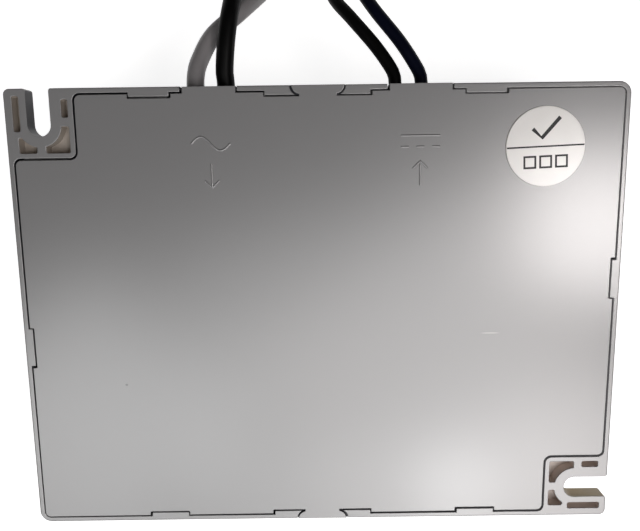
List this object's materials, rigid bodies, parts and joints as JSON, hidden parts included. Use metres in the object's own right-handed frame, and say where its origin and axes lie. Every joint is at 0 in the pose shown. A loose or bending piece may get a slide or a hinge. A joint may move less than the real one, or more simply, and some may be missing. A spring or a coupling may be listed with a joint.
{
  "type": "led driver",
  "caption": "Flat moulded LED driver case with a flush snap-in base plate, slotted mounting ears, a round sticker and mains and low-voltage leads.",
  "frame": {"origin": "middle of the case's outline, on the surface that its closed face lies on", "axes": "+Z out of the base plate, +X along the case's long side, +Y out of the side that the leads leave by"},
  "size_m": [0.1136, 0.1577, 0.0302],
  "materials": {
    "case_plastic": "satin",
    "plate_plastic": "fine satin grain",
    "label_paper": "satin",
    "board_laminate": "satin",
    "screw_steel": "plated",
    "black_epoxy": "matt",
    "blue_epoxy": "dipped",
    "yellow_film": "moulded",
    "ferrite": "matt",
    "enamelled_copper": "enamelled",
    "black_sleeve": "shrunk sleeve",
    "aluminium": "mill",
    "bobbin_resin": "matt",
    "winding_tape": "polyester tape",
    "tinned_copper": "tinned",
    "white_insulation": "satin PVC",
    "black_insulation": "satin PVC",
    "blue_black_insulation": "satin PVC",
    "tie_nylon": "moulded nylon"
  },
  "bodies": {
    "root": {"housing": "case_plastic", "base_plate": "plate_plastic", "inspection_label": "label_paper", "circuit_board": "board_laminate", "board_screw_1": "screw_steel", "board_screw_2": "screw_steel", "fuse": "black_epoxy", "varistor": "blue_epoxy", "x_capacitor": "yellow_film", "choke_core": "ferrite", "choke_winding_1": "enamelled_copper", "choke_winding_2": "enamelled_copper", "bridge_rectifier": "black_epoxy", "bulk_capacitor_1": "black_sleeve", "bulk_capacitor_2": "black_sleeve", "output_capacitor_1": "black_sleeve", "output_capacitor_2": "black_sleeve", "mosfet_heatsink": "aluminium", "mosfet": "black_epoxy", "diode_heatsink": "aluminium", "output_diode": "black_epoxy", "transformer_core_1": "ferrite", "transformer_core_2": "ferrite", "transformer_bobbin": "bobbin_resin", "transformer_winding": "winding_tape", "y_capacitor": "blue_epoxy", "optocoupler": "black_epoxy", "controller_ic": "black_epoxy", "output_inductor": "black_sleeve", "ac_lead_white": "white_insulation", "ac_lead_white_end": "white_insulation", "ac_lead_white_tip": "tinned_copper", "ac_lead_black": "black_insulation", "ac_lead_black_end": "black_insulation", "ac_lead_black_tip": "tinned_copper", "dc_lead_black": "black_insulation", "dc_lead_black_end": "black_insulation", "dc_lead_black_tip": "tinned_copper", "dc_lead_blue": "blue_black_insulation", "dc_lead_blue_end": "blue_black_insulation", "dc_lead_blue_tip": "tinned_copper", "ac_lead_coil": "black_insulation", "ac_lead_coil_tie": "tie_nylon", "dc_lead_coil": "black_insulation", "dc_lead_coil_tie": "tie_nylon"}
  },
  "joints": []
}
